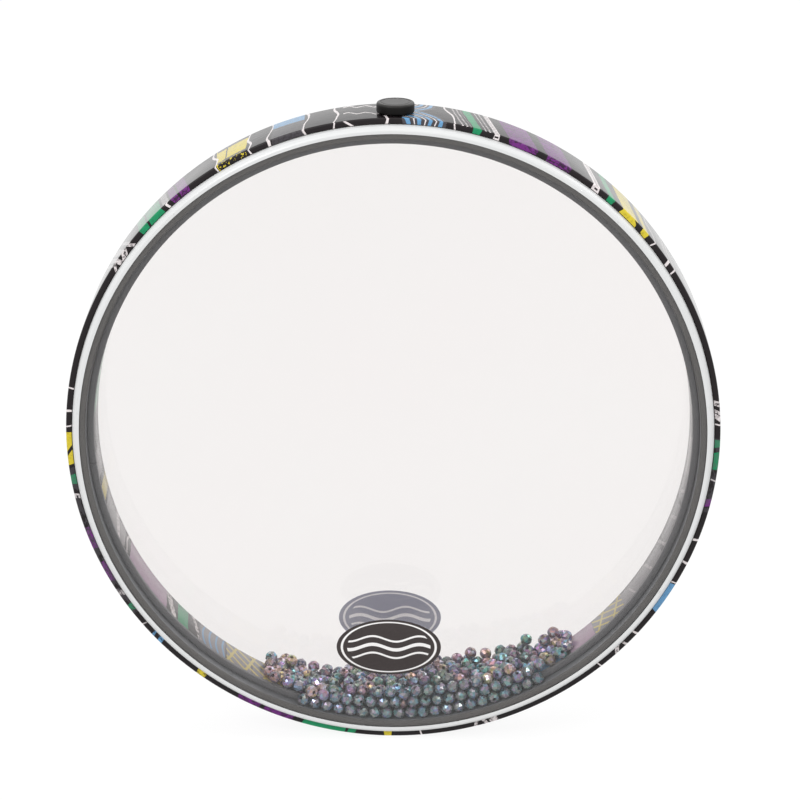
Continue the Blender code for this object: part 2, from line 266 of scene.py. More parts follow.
class Net:
    """A material's node tree, with short spellings for adding nodes. Colours may be #rrggbb."""

    def __init__(self, name):
        self.mat = bpy.data.materials.new(name)
        self.mat.use_nodes = True
        self.tree = self.mat.node_tree
        self.tree.nodes.clear()
        self.output = self.tree.nodes.new("ShaderNodeOutputMaterial")

    def add(self, kind, inputs, result=0, **props):
        """Adds a node with these properties and {key: input}, and gives one of its outputs."""
        made = self.tree.nodes.new(kind)
        for key, value in props.items():
            setattr(made, key, value)
        for key, value in inputs.items():
            if isinstance(value, Value):
                self.tree.links.new(value.socket, made.inputs[key])
            else:
                made.inputs[key].default_value = srgb(value) if isinstance(value, str) else value
        return Value(self, made.outputs[result])

    def math(self, operation, *values, clamp=False):
        inputs = dict(enumerate(values))
        return self.add("ShaderNodeMath", inputs, operation=operation, use_clamp=clamp)

    def mix(self, factor, under, over, blend="MIX"):
        inputs = {0: factor, 6: under, 7: over}
        return self.add("ShaderNodeMix", inputs, 2, data_type="RGBA", blend_type=blend)

    def ramp(self, factor, stops, interpolation="LINEAR"):
        """Colour ramp through (place, colour) stops."""
        made = self.add("ShaderNodeValToRGB", {0: factor})
        ramp = made.socket.node.color_ramp
        ramp.interpolation = interpolation
        while len(ramp.elements) > 1:
            ramp.elements.remove(ramp.elements[-1])
        ramp.elements[0].position = stops[0][0]
        for index, (place, color) in enumerate(stops):
            element = ramp.elements.new(place) if index else ramp.elements[0]
            element.color = srgb(color) if isinstance(color, str) else color
        return made

    def noise(self, vector, scale, detail=3.0, rough=0.5):
        return self.add("ShaderNodeTexNoise", {"Vector": vector, "Scale": scale,
                                               "Detail": detail, "Roughness": rough})

    def combine(self, x, y, z=0.0):
        return self.add("ShaderNodeCombineXYZ", {0: x, 1: y, 2: z})

    def split(self, vector):
        first = self.add("ShaderNodeSeparateXYZ", {0: vector})
        return [first, first.sibling(1), first.sibling(2)]

    def coords(self):
        return self.add("ShaderNodeTexCoord", {}, "Object")

    def geometry(self, result):
        return self.add("ShaderNodeNewGeometry", {}, result)

    def from_axis(self, x, z):
        """Distance from the drum axis, and height above it."""
        height = z - AXIS_Z
        return (x * x + height * height).sqrt(), height

    def bump(self, height, strength, distance):
        return self.add("ShaderNodeBump", {"Height": height, "Strength": strength,
                                           "Distance": distance})

    def finish(self, shader):
        self.tree.links.new(shader.socket, self.output.inputs["Surface"])
        return self.mat

    def surface(self, **values):
        inputs = {key.replace("_", " "): value for key, value in values.items()}
        return self.finish(self.add("ShaderNodeBsdfPrincipled", inputs))


# --------------------------------------------------------------- printed films
BLACK = "#1c1719"
GREEN = "#17905f"
YELLOW = "#dcc838"
PURPLE = "#742b80"
BLUE = "#6a9fca"
WHITE = "#ece4e4"
GREY = "#5f5c62"
MAUVE = "#a98da3"
MIST = "#9a9798"
SAND = "#cdbb62"

# Plain bands on black: start and end in degrees of turn, colour. None crosses 120 or 240.
OUTER_BANDS = [
    (40.0, 41.7, YELLOW), (42.7, 46.5, YELLOW), (48.3, 49.8, GREEN), (51.9, 53.1, WHITE),
    (57.8, 62.6, PURPLE), (64.3, 69.8, PURPLE), (71.6, 72.6, WHITE), (74.6, 76.1, GREEN),
    (115.9, 120, YELLOW), (120, 121.5, YELLOW), (127.6, 129.4, PURPLE), (130, 131.4, PURPLE),
    (133.8, 136.9, GREEN), (137.6, 139.4, GREEN), (179.2, 185.6, YELLOW), (187.1, 189.1, GREEN),
    (190.8, 192.1, WHITE), (197.5, 201.8, PURPLE), (204.5, 209, PURPLE), (214.0, 215.3, GREEN),
    (220.8, 221.4, BLUE), (222.6, 223.2, BLUE), (231.8, 233.8, YELLOW), (240.5, 244.8, PURPLE),
    (245.8, 251.6, PURPLE), (253.4, 261.2, GREEN), (261.9, 263.1, GREEN), (268.5, 270, YELLOW),
    (325.2, 331, BLUE), (347, 348.6, PURPLE), (354, 357.3, GREEN), (358.3, 360, GREEN),
]
INNER_BANDS = [
    (183, 188, MIST), (190, 193, SAND), (194, 203, MIST), (205.5, 218.3, MAUVE),
    (221.6, 224.2, GREEN), (227.5, 233.7, MIST), (234, 240, MIST), (240, 246.5, MIST),
    (250, 262, PURPLE), (266, 274, GREEN), (280, 290, YELLOW), (294, 304, BLUE),
    (306.2, 312.4, MAUVE), (312.6, 334, MIST), (335.5, 344, MIST), (345, 358, MIST),
    (10, 20, YELLOW), (30, 42, PURPLE), (50, 60, GREEN), (75, 95, YELLOW), (110, 118, BLUE),
    (130, 150, PURPLE), (160, 175, GREEN),
]
# Thin wavy cross lines, in degrees of turn.
OUTER_LINES = [2.4, 32.6, 34.2, 38.4, 79.2, 99.9, 105.1, 111.6, 115.5, 121.9, 171.2, 175.0, 178.3,
               218.4, 275, 310.8, 320, 331.6, 335.5, 340.8, 352.1]
INNER_LINES = [204.4, 305]
# How far the outer bands lean, less 0.5, at shares of a turn: not at all just left of the top.
LEAN = [(0.0, 0.9), (0.22, 0.9), (0.25, 0.6), (0.27, 0.5), (0.33, 0.5), (0.36, 0.9), (0.5, 0.9)]
# Zigzag lines: mm across the shell, climb in mm a degree, first and last degree.
ZIGZAGS = [(-8.6, 1.15, 92.0, 98.6), (9.0, 0.8, 92.2, 98.8)]
# Broken white strokes of the outer film: centre and half width in degrees.
OUTER_STROKES = [
    (142.2, 0.38), (144.3, 0.75), (146.0, 0.5), (147.3, 0.3), (314.9, 0.5), (316.8, 0.22),
    (285.3, 0.3), (287.0, 0.35), (288.6, 0.8), (3.9, 0.5), (4.9, 0.3), (6.5, 0.5), (211.3, 0.6),
]
# Pale slanting strokes of the lining: centre and half width in degrees.
INNER_STROKES = [(199.8, 0.7), (219.6, 0.75), (226.6, 0.45), (323.3, 0.22), (329.2, 0.3),
                 (334.8, 0.35), (340.6, 0.35), (346.2, 0.35)]
FOLD_END, FOLD_MID = 3.6, 1.8            # the front fold's extent along the outline, mm


def band_stops(bands, low, high):
    """Ramp stops from low to high degrees: a band's colour at its start, black at its end."""
    stops = [(0.0, BLACK)]
    for start, end, color in bands:
        if start >= low and end <= high:
            for angle, ink in ((start, color), (end, BLACK)):
                place = (angle - low) / (high - low)
                if abs(stops[-1][0] - place) < 1e-4:
                    stops.pop()
                stops.append((place, ink))
    return stops


class Film:
    """Glossy printed film, inked layer by layer.

    turn is in degrees, leaned and wavering with the print; across is in mm from mid-plane,
    positive to the rear; along is in mm round the outline from the front fold's inner edge.
    """

    def __init__(self, name, outer):
        self.net = net = Net(name)
        self.outer = outer
        around, along, _ = net.split(net.add("ShaderNodeUVMap", {}, uv_map="turn"))
        self.position = net.coords()
        self.across = across = net.split(self.position)[1] * 1000.0
        turn = around * 360.0
        # Slow noise that makes the edges slightly uneven, stretched less along the turn.
        self.wander = net.noise(net.combine(turn * 0.35, across * 0.12), scale=1.0, detail=2.0)
        if outer:
            lean = net.ramp(turn / 360.0, [(place, grey(level)) for place, level in LEAN])
            # Degrees of lean per mm back from the front edge.
            turn = turn - (lean - 0.5) * 0.14 * (across + HALF / MM)
        else:
            # The lining's bands are set round by 0.95 degrees and lean the other way.
            turn = (turn - 0.95) + (across + 3.0) * 0.03
        turn = turn + (self.wander - 0.5) * 0.35
        if outer:
            # On the fold the edges slant one way and the other as the turn goes round.
            self.along = along = along * 1000.0
            self.on_fold = along < FOLD_END
            turn = turn + self.on_fold * (along - FOLD_MID) * ((turn * 0.7).sin() * 0.09)
        self.turn = turn
        self.blots = net.noise(self.position, scale=520.0, detail=2.0, rough=0.6)

    def ink(self, mask, color):
        """Lays a colour over the print where the mask is."""
        self.color = self.net.mix(mask, self.color, color)


def ink_bands(film, bands, lines):
    """The plain bands, one ramp for each third of a turn, and the wavy lines over them."""
    net, turn = film.net, film.turn
    share = turn / 360.0
    thirds = []
    for k in range(3):
        # A ramp holds 256 steps, so its edges are centred by adding half of one.
        place = (share - k / 3).math("MULTIPLY_ADD", 3.0, 0.5 / 255, clamp=True)
        thirds.append(net.ramp(place, band_stops(bands, 120 * k, 120 * k + 120), "CONSTANT"))
    film.color = net.mix(share > 1 / 3, thirds[0], thirds[1])
    film.ink(share > 2 / 3, thirds[2])
    # The lines swing 0.4 degrees either way.
    wavy = turn + (film.across * 0.15 + turn * 0.9).sin() * 0.4
    film.ink(any_of(wavy.near(centre=angle, half=0.17) for angle in lines), WHITE)


def ink_zigzags(film):
    """Two zigzag lines along the shell, just left of the plug."""
    # A saw wave of 0..1, made uneven by the wander.
    saw = (film.turn * 0.62 + film.wander * 0.8).math("PINGPONG", 1.0)
    for place, climb, first, last in ZIGZAGS:
        # Each tooth is 4.2 mm high.
        middle = (film.turn - 92.5) * climb + place + saw * 4.2
        line = film.across.near(centre=middle, half=0.75)
        film.ink(line * film.turn.inside(low=first, high=last), WHITE)


def ink_fans(film, top_face):
    """Curved blue rows with fine white lines between, fanned from near each edge of the shell."""
    degree_mm, fan_turn = 3.49, 88.6     # mm to a degree of turn, and the fans' centre
    row_pitch, reach = 6.3, 27.0         # mm
    sideways = (film.turn - fan_turn) * degree_mm
    fans = []
    for centre in (-22.0, 24.0):
        off = film.across - centre
        fans.append((sideways * sideways + off * off).sqrt())
    fan = fans[0].math("MINIMUM", fans[1])
    field = film.turn.inside(low=80.6, high=88.4) * (fan < reach)
    beat = (fan / row_pitch).fract()
    film.ink(field * 0.55, GREY)
    film.ink(beat.near(centre=0.80, half=0.17) * (film.blots > 0.36) * field, BLUE)
    film.ink(beat.near(centre=0.34, half=0.055) * top_face * field, WHITE)


def ink_strokes(film):
    """Short white and dark strokes of the outer film, slanted across it and on the fold."""
    turn, across, along, on_fold = film.turn, film.across, film.along, film.on_fold
    # A short tick near the top, at the front.
    tick = (turn - (across + 20.0) * 0.05).near(centre=90.9, half=0.22)
    film.ink(tick * (across < -12.0), WHITE)
    slanted = turn - (across + 20.3) * 0.05
    # Broken white strokes. On the fold, odd and even tenths of a degree tilt opposite ways.
    strokes = []
    for centre, half in OUTER_STROKES:
        tilt = (along - FOLD_MID) * (0.22 if int(centre * 10) % 2 else -0.16)
        strokes.append((slanted + on_fold * tilt).near(centre, half))
    wear_and_top_light = film.blots.rise(start=0.34, slope=5.0)
    film.ink(any_of(strokes) * wear_and_top_light, film.net.mix(0.12, WHITE, BLACK))
    flick = (slanted + (along - FOLD_MID) * -0.3).near(centre=97.6, half=0.28)
    film.ink(on_fold * flick, WHITE)
    # Dark strokes that cut the yellow blocks on the fold.
    cut = any_of((slanted - along * on_fold * tilt).near(centre, half)
                 for tilt, centre, half in ((0.42, 41.5, 0.5), (0.45, 181.9, 0.45)))
    film.ink(cut * on_fold, BLACK)


def ink_dots(film):
    """Fine white dots beside the green stripe, and black dots in the white stripes."""
    turn, across, on_fold = film.turn, film.across, film.on_fold
    # A grid of dots, 1.25 to a degree and 0.36 to a mm.
    grid_x = (turn * 1.25).fract() - 0.5
    grid_y = (across * 0.36).fract() - 0.5
    dots = grid_x * grid_x + grid_y * grid_y < 0.055
    beside = turn.inside(low=72.9, high=74.1) | turn.inside(low=76.5, high=78.4)
    film.ink(dots * beside, WHITE)
    # One black dot across the fold, and a row of them, 0.31 to a mm, elsewhere.
    spots = (on_fold * film.along.near(centre=FOLD_MID, half=0.55)
             + (1.0 - on_fold) * ((across * 0.31).fract() < 0.33))
    stripes = turn.near(centre=72.0, half=0.34) | (
        turn.near(centre=52.4, half=0.3) | turn.near(centre=191.7, half=0.36))
    film.ink(spots * stripes, BLACK)


def ink_fields(film, top_face):
    """A speckled field, blue towards the rear, and a block left of it with marked edges."""
    turn, across, blots = film.turn, film.across, film.blots
    speck = blots > 0.53
    field = turn.inside(low=105.5, high=111.2) * top_face
    film.ink(field * 0.5, GREY)
    film.ink(speck * field * 0.45, BLACK)
    film.ink(field * across.inside(low=6.0, high=21.0) * (1.0 - speck * 0.3), BLUE)
    block = turn.inside(low=115.9, high=121.5)
    film.ink(block * (across > 13.0), GREY)
    film.ink(block * (across < -13.0), film.net.mix(blots > 0.60, BLACK, YELLOW))


def ink_wear(film):
    """Uneven ink: light mottling everywhere, streaks in the broad bands, and a hatched edge."""
    net, turn, across = film.net, film.turn, film.across
    # Stretched by these factors, so that the streaks run with the turn.
    place = net.combine(turn * 0.8, across * 1.4, film.along * 0.5)
    streak = net.noise(place, scale=0.6, detail=3.0, rough=0.6)
    broad = turn.inside(low=56.8, high=70.0) | (
        turn.inside(low=127.0, high=132.0) | turn.inside(low=196.0, high=253.0))
    film.ink(film.blots.fall(end=0.50, slope=5.0) * (0.30 + broad * 0.35), BLACK)
    film.ink(broad * (streak.inside(low=0.50, high=0.57) * 0.75), BLACK)
    pale = turn.inside(low=186.0, high=216.0) | turn.inside(low=346.0, high=360.0)
    film.ink(pale * ((streak > 0.45) * 0.35), GREY)
    # Slanting lines, 0.9 to a degree and 0.22 to a mm.
    hatch = (turn * 0.9 + across * 0.22).fract() < 0.4
    film.ink(hatch * turn.inside(low=131.9, high=133.3), WHITE)


def ink_lining(film):
    """The lining's slanting strokes, yellow lattice and curved rows."""
    turn, across = film.turn, film.across
    slope = turn + across * 0.07
    bars = any_of(slope.near(centre, half) for centre, half in INNER_STROKES)
    film.ink(bars * film.blots.rise(start=0.36, slope=5.0), WHITE)
    # A darker ground under the lattice and the curved rows.
    ground = turn.inside(low=227.2, high=247.0) | turn.inside(low=312.4, high=350.0)
    film.ink(ground * 0.5, GREY)
    # Two sets of crossing lines, 0.36 and 0.24 to a degree.
    falling = ((turn + across * 0.3) * 0.36).fract().near(centre=0.5, half=0.14)
    rising = ((turn - across * 0.1) * 0.24).fract().near(centre=0.5, half=0.07)
    panes = turn.inside(low=234.0, high=246.5) | turn.inside(low=312.6, high=320.6)
    film.ink((falling | rising) * panes, SAND)
    # Rows bowed by the square of the distance from mid-plane, 0.62 to a degree.
    rows = ((turn - across * across * 0.004) * 0.62).fract().near(centre=0.5, half=0.13)
    film.ink(rows * turn.inside(low=227.6, high=233.6), BLUE)
    film.ink(0.24, MIST)


def film_surface(film):
    """Print grain, handling marks and gloss, with a painted reflection in the outer film's coat."""
    net, turn, across = film.net, film.turn, film.across
    film.ink(net.noise(film.position, scale=1800.0, detail=2.0, rough=0.6) * 0.22, BLACK)
    soft = net.noise(film.position, scale=22.0, detail=4.0, rough=0.6)
    marks = net.noise(net.combine(turn * 0.25, across * 0.9), scale=1.6, detail=5.0, rough=0.7)
    ripple = net.noise(net.combine(turn * 0.5, across * 0.35), scale=1.0, detail=3.0)
    # 1 on the cylinder, 0 on the parts that face the front or rear.
    side = abs(net.split(net.geometry("Normal"))[1])
    flat = 1.0 - side.scaled(1.5)
    coat, coat_ior = 0.2, 1.5
    if film.outer:
        # Painted reflection: the coat is made stronger away from the plug, and most on the
        # right-hand side, where the studio's light is reflected.
        away = abs(turn - 90.0).rise(start=30.0, slope=0.04)
        right = turn.fall(end=60.0, slope=0.05) | turn.rise(start=300.0, slope=0.025)
        coat, coat_ior = 0.12 + away * 0.8, 1.5 + right * 0.5
    return net.surface(
        Base_Color=film.color, Roughness=0.07 + soft * 0.14 + (1.0 - flat) * 0.25, IOR=1.4,
        Specular_IOR_Level=0.35 + flat * 0.15,
        Coat_Weight=flat * coat, Coat_Roughness=0.05, Coat_IOR=coat_ior,
        Normal=net.bump(ripple * 1.0 + marks * 0.15, strength=0.10, distance=0.0012))


def outer_film():
    film = Film("printed_outer_film", outer=True)
    ink_bands(film, OUTER_BANDS, OUTER_LINES)
    # 0 at the front edge, 1 behind it.
    top_face = (film.across + 20.0).scaled(1.5)
    ink_zigzags(film)
    ink_fans(film, top_face)
    ink_strokes(film)
    ink_dots(film)
    ink_fields(film, top_face)
    ink_wear(film)
    return film_surface(film)


def inner_film():
    film = Film("printed_inner_film", outer=False)
    ink_bands(film, INNER_BANDS, INNER_LINES)
    ink_lining(film)
    return film_surface(film)


# ------------------------------------------------------------- other materials
def white_plastic():
    net = Net("white_plastic_ring")
    position = net.coords()
    fine = net.noise(position, scale=900.0)
    broad = net.noise(position, scale=14.0, detail=4.0, rough=0.6)
    # Scuffs: noise packed closely along the drum's axis and drawn out around it.
    packing = (4.0, 60.0, 4.0)
    packed = [net.split(position)[axis] * packing[axis] for axis in range(3)]
    scuff = net.noise(net.combine(*packed), scale=12.0, detail=6.0, rough=0.75)
    base = net.mix(broad, "#d9dadb", "#d1d2d1")
    base = net.mix((scuff > 0.66) * 0.35, base, "#b9b9b7")
    return net.surface(Base_Color=base, Roughness=0.22 + broad * 0.2, IOR=1.5, Coat_Weight=0.15,
                       Subsurface_Weight=0.04, Subsurface_Radius=(0.003, 0.003, 0.003),
                       Normal=net.bump(fine, strength=0.05, distance=0.0002))


def bearing_plastic():
    """Satin grey-brown ring, with a painted shadow line along its inner corner and painted shade on
    its inner wall.
    """
    net = Net("bearing_ring_satin")
    position = net.coords()
    x, y, z = net.split(position)
    radius, height = net.from_axis(x, z)
    radius = radius * 1000.0
    depth = abs(y) * 1000.0              # mm from mid-plane
    broad = net.noise(position, scale=18.0, detail=4.0, rough=0.6)
    fine = net.noise(position, scale=900.0)
    face = net.mix(broad, "#494745", "#51504e")
    wall = net.mix(broad, "#6a6c6f", "#76787b")
    base = net.mix(depth.rise(start=22.2, slope=4.0), wall, face)
    # The inner wall falls into shade towards the strip behind it.
    base = net.mix(depth.fall(end=20.5, slope=0.17) * 0.6, base, "#46474b")
    # A painted shadow line along the inner corner, strongest at the top of the ring.
    upper = height.math("MULTIPLY_ADD", 6.0, 0.35, clamp=True)
    corner = radius.fall(end=188.5, slope=1.6) * upper
    base = net.mix(corner * ((depth > 21.6) * 0.7), base, "#2c2b2b")
    return net.surface(Base_Color=base, Roughness=0.42 + broad * 0.14, IOR=1.45,
                       Normal=net.bump(fine, strength=0.02, distance=0.0002))


def foam():
    net = Net("grey_foam_strip")
    position = net.coords()
    cells = net.add("ShaderNodeTexVoronoi", {"Vector": position, "Scale": 1500.0}, "Distance")
    broad = net.noise(position, scale=30.0)
    x, _, z = net.split(position)
    radius = net.from_axis(x, z)[0] * 1000.0
    base = net.mix(cells, "#575759", "#646466")
    base = net.mix(broad * 0.5, base, "#4e4e50")
    # Painted shadow where it runs under the bearing ring.
    base = net.mix(radius.rise(start=185.4, slope=0.7) * 0.45, base, "#3c3d40")
    # Painted light: paler on its inner wall, which faces the inside of the drum.
    side = abs(net.split(net.geometry("Normal"))[1])
    base = net.mix(0.75 - side * 0.75, base, "#757577")
    return net.surface(Base_Color=base, Roughness=0.85, Sheen_Weight=0.2,
                       Normal=net.bump(cells, strength=0.12, distance=0.0003))


def clear_film():
    """Thin clear film: mostly see-through, with a weak gloss that grows at a slant."""
    net = Net("clear_head_film")
    position = net.coords()
    haze = net.noise(position, scale=6.0)
    tint = net.mix(haze, (0.972, 0.961, 0.959, 1.0), (0.970, 0.967, 0.964, 1.0))
    clear = net.add("ShaderNodeBsdfTransparent", {0: tint})
    wave = net.noise(position, scale=9.0, detail=2.0)
    gloss = net.add("ShaderNodeBsdfGlossy", {
        "Color": grey(1.0), "Roughness": 0.03 + haze * 0.05,
        "Normal": net.bump(wave, strength=0.04, distance=0.002)})
    fresnel = net.add("ShaderNodeFresnel", {"IOR": 1.45})
    # Both faces' gloss is put on the one the light meets first, as the film isn't refracting.
    leaving = net.geometry("Backfacing")
    share = fresnel.scaled(1.7) * (1.0 - leaving)
    return net.finish(net.add("ShaderNodeMixShader", {0: share, 1: clear, 2: gloss}))


def badge_print(name, width, height, centre_x, centre_z, sign):
    """Pale outline and three gentle waves on a dark ground; the side facing inwards is greyer, a
    painted haze of the clear films it is seen through.
    """
    net = Net(name)
    x, _, z = net.split(net.coords())
    # Shares of the badge's half width and half height, mirrored at the rear.
    across = (x - centre_x) / (width / 2)
    up = (z - centre_z) / (height / 2)
    if sign > 0:
        across = across * -1.0
    outwards = net.split(net.geometry("True Normal"))[1] * float(sign) > 0.0
    # Painted haze: the side facing inwards gets a pale grey-lavender ground and whiter marks,
    # standing for the clear films' reflection over it.
    ground = net.mix(outwards, "#9fa1b2", "#2f2625")
    pale = net.mix(outwards, "#f8f8fa", "#f1efee")
    reach = (across * across + up * up).sqrt()
    edge = reach.near(centre=0.90, half=0.022)
    swell = up + (across * 7.0 + 0.6).sin() * 0.10
    # Height and half thickness of each wave.
    waves = any_of(swell.near(centre, half)
                   for centre, half in ((0.30, 0.035), (0.0, 0.06), (-0.30, 0.035)))
    mark = edge | (reach < 0.80) * waves
    speckle = net.noise(net.coords(), scale=900.0)
    broad = net.noise(net.coords(), scale=60.0)
    base = net.mix(speckle * 0.02, ground, grey(0.6))
    base = net.mix(mark * 0.92, base, pale)
    return net.surface(Base_Color=base, Roughness=0.25 + broad * 0.2, IOR=1.45,
                       Normal=net.bump(speckle - mark * 0.6, strength=0.1, distance=0.0002))


def plug_rubber():
    """Near-black rubber, with painted light where it faces up: greyer and shinier there."""
    net = Net("plug_rubber")
    position = net.coords()
    fine = net.noise(position, scale=2600.0, rough=0.6)
    broad = net.noise(position, scale=120.0, detail=4.0, rough=0.6)
    base = net.mix(broad, "#0c0b0b", "#151413")
    # Painted light: faces that look up are made greyer, shinier and given sheen, as if lit from
    # above.
    wear_and_top_light = net.split(net.geometry("Normal"))[2].scaled(1.0)
    base = net.mix(wear_and_top_light * 0.75, base, net.mix(broad, "#2a2827", "#363431"))
    return net.surface(Base_Color=base, Roughness=0.36 + broad * 0.14, IOR=1.36,
                       Specular_IOR_Level=0.22 + wear_and_top_light * 0.5, Sheen_Weight=wear_and_top_light * 0.15,
                       Normal=net.bump(fine, strength=0.18, distance=0.0002))


# Tints of the bead glass; the last meets the first.
BEAD_HUES = [(0.00, "#9a9db4"), (0.12, "#b57bc4"), (0.25, "#6f8fd6"), (0.38, "#5fbcc6"),
             (0.50, "#7cc59b"), (0.62, "#c2b878"), (0.74, "#c09a80"), (0.86, "#bf86a2"),
             (1.00, "#9a9db4")]


def bead_glass():
    """Faceted glass with a metallic rainbow coat: each facet and each bead has its own tint.

    The factors on island only spread the beads' random numbers in unrelated ways.
    """
    net = Net("bead_rainbow_glass")
    island = net.geometry("Random Per Island")
    snapped = net.add("ShaderNodeVectorMath", {0: island.sibling("True Normal"), 1: (0.02,) * 3},
                      operation="SNAP")
    facet = net.add("ShaderNodeTexWhiteNoise", {"Vector": snapped, "W": island * 37.0}, "Value",
                    noise_dimensions="4D")
    chance = facet.sibling("Color")
    drift = net.noise(net.coords(), scale=150.0, detail=1.0)
    own = net.ramp((island * 5.3 + drift * 0.4).fract(), BEAD_HUES)
    per_facet = net.ramp((facet * 0.6 + island * 5.3 + drift * 0.4).fract(), BEAD_HUES)
    tint = net.mix(0.55, own, per_facet)
    dull = (island * 11.7).fract().rise(start=0.6, slope=1.5)
    tint = net.mix(dull, tint, "#85878f")
    tint = net.mix(0.12, tint, "#908f98")
    # Some facets, and some beads, are darker than their neighbours.
    level = net.split(chance)[1]
    bright = (0.6 + level * level * 0.72) * (0.62 + (island * 7.3).fract() * 0.76)
    shade = net.combine(bright, bright * 0.95, bright * 0.92)
    tint = net.mix(1.0, tint, shade, blend="MULTIPLY")
    # One facet in five is smoother.
    smoother = (net.split(chance)[2] > 0.8) * 0.12
    return net.surface(Base_Color=tint, Metallic=0.62, Roughness=0.16 + facet * 0.18 - smoother,
                       IOR=1.6, Coat_Weight=0.5, Coat_Roughness=0.04, Coat_IOR=1.6,
                       Normal=net.bump(drift, strength=0.03, distance=0.0004))


def fibre():
    """Brown board in plies about the drum axis."""
    net = Net("shell_fibre")
    x, _, z = net.split(net.coords())
    radius, _ = net.from_axis(x, z)
    plies = net.noise(net.combine(radius * 1500.0, 0.0), scale=1.0, detail=2.0)
    flecks = net.noise(net.coords(), scale=420.0, detail=5.0, rough=0.7)
    base = net.mix(plies, "#6b4a33", "#93704e")
    base = net.mix(flecks * 0.6, base, "#4d3524")
    return net.surface(Base_Color=base, Roughness=0.75,
                       Normal=net.bump(flecks, strength=0.35, distance=0.0004))


mat_outer = outer_film()
mat_inner = inner_film()
mat_white = white_plastic()
mat_bearing = bearing_plastic()
mat_foam = foam()
mat_clear = clear_film()
mat_plug = plug_rubber()
mat_bead = bead_glass()

# ------------------------------------------------------------------- the shell
FOLD_R = 196.5 * MM                      # inner edge of the wrap's folds over the shell's ends
WRAP_SIDE, WRAP_TOP = 0.5 * MM, 0.6 * MM       # film thickness on the folds and round the shell
LINING_THICK = 0.5 * MM
HOLE_R = 7.2 * MM
PLUG_LO, PLUG_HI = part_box("fill_plug")
PLUG_X, PLUG_Y = (PLUG_LO.x + PLUG_HI.x) / 2, (PLUG_LO.y + PLUG_HI.y) / 2


def wrap_film():
    """Film round the shell, folded over both of its ends."""
    inner_r, inner_y = SHELL_R - WRAP_TOP, HALF - WRAP_SIDE
    corners = [(FOLD_R, -HALF), (SHELL_R, -HALF), (SHELL_R, HALF), (FOLD_R, HALF),
               (FOLD_R, inner_y), (inner_r, inner_y), (inner_r, -inner_y), (FOLD_R, -inner_y)]
    radii = [radius * MM for radius in (0.2, 1.3, 1.3, 0.2, 0.1, 0.3, 0.3, 0.1)]
    return ring("wrap_film", rounded(corners, radii, steps=6), mat_outer)


def lining_film():
    lo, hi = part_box("inner_print_lining")
    inner_r = (hi.x - lo.x) / 2 - LINING_THICK
    outer_r = inner_r + LINING_THICK
    corners = [(inner_r, lo.y), (outer_r, lo.y), (outer_r, hi.y), (inner_r, hi.y)]
    return ring("lining_film", rounded(corners, [0.1 * MM] * 4, steps=2), mat_inner)


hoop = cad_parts["shell_hoop"]
hoop.data.materials.clear()
hoop.data.materials.append(fibre())

wrap = wrap_film()
lining = lining_film()
for obj in (wrap, lining):
    drill(obj, HOLE_R, (PLUG_X, PLUG_Y, SHELL_TOP))
stand_in(wrap, "outer_print_wrap", "printed_film")
stand_in(lining, "inner_print_lining", "printed_lining")


# ------------------------------------------------- heads, rings, strips, badges
def depths(node):
    """A piece's distances from mid-plane, nearer one first, in metres."""
    lo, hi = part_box(node)
    return sorted((abs(lo.y), abs(hi.y)))


def outward(points, sign):
    """(radius, distance from mid-plane) in mm to (radius, y) in metres on one side."""
    return [(radius * MM, sign * y * MM) for radius, y in points]


def side_ring(name, points, radii, mat, sign, steps=5, seam=None):
    outline = rounded(outward(points, sign), [radius * MM for radius in radii], steps)
    return ring(name, outline, mat, seam)


def crown_ring(label, node, sign):
    back, face = (depth / MM for depth in depths(node))
    points = [(192.2, back), (196.1, back), (196.1, 19.3), (195.6, 21.5), (194.4, face - 0.7),
              (193.4, face), (191.5, face), (191.5, 24.03), (192.2, 24.03)]
    radii = [0.3, 0.3, 0.4, 1.6, 1.2, 0.6, 0.12, 0.05, 0.0]
    return side_ring(label + "_crown_ring", points, radii, mat_white, sign)


def bearing_ring(label, node, sign):
    back, face = (depth / MM for depth in depths(node))
    points = [(187.6, back), (191.4, back), (191.4, face - 0.15), (191.2, face), (188.5, face),
              (187.6, face - 0.9)]
    radii = [0.2, 0.2, 0.1, 0.2, 0.6, 0.6]
    return side_ring(label + "_bearing_ring", points, radii, mat_bearing, sign)


def soft_strip(label, node, sign):
    """Foam strip cut at its left end; the front one is wider."""
    back, face = (depth / MM for depth in depths(node))
    inner = 183.3 if sign < 0 else 184.5
    points = [(inner, back), (187.3, back), (187.3, face), (inner, face)]
    return side_ring(label + "_soft_strip", points, [0.1, 0.1, 0.5, 0.8], mat_foam, sign,
                     steps=4, seam=186.0)


def clear_head(label, node, sign):
    """Film over the opening, turned down into a skirt at its rim."""
    skirt, face = (depth / MM for depth in depths(node))
    # From the centre out, over the collar and down the skirt, then back along the inside.
    outline = outward([
        (0.0, face), (60.0, face), (130.0, face), (183.0, face), (190.6, face),
        (191.6, face - 0.12), (191.95, face - 0.5), (192.0, face - 1.2), (192.0, skirt),
        (191.65, skirt), (191.65, face - 1.2), (191.4, face - 0.55), (190.5, face - 0.3),
        (183.0, face - 0.3), (130.0, face - 0.3), (60.0, face - 0.3), (0.0, face - 0.3)], sign)
    bm = bmesh.new()
    outer_pole, inner_pole, loops = spin(bm, outline, TURNS, drum_point)
    for k in range(TURNS):
        here, there = loops[k], loops[(k + 1) % TURNS]
        bm.faces.new((outer_pole, here[0], there[0]))
        for i in range(len(here) - 1):
            bm.faces.new((here[i], here[i + 1], there[i + 1], there[i]))
        bm.faces.new((here[-1], inner_pole, there[-1]))
    return link(label + "_clear_head", bm, mat_clear, smooth_deg=35.0)


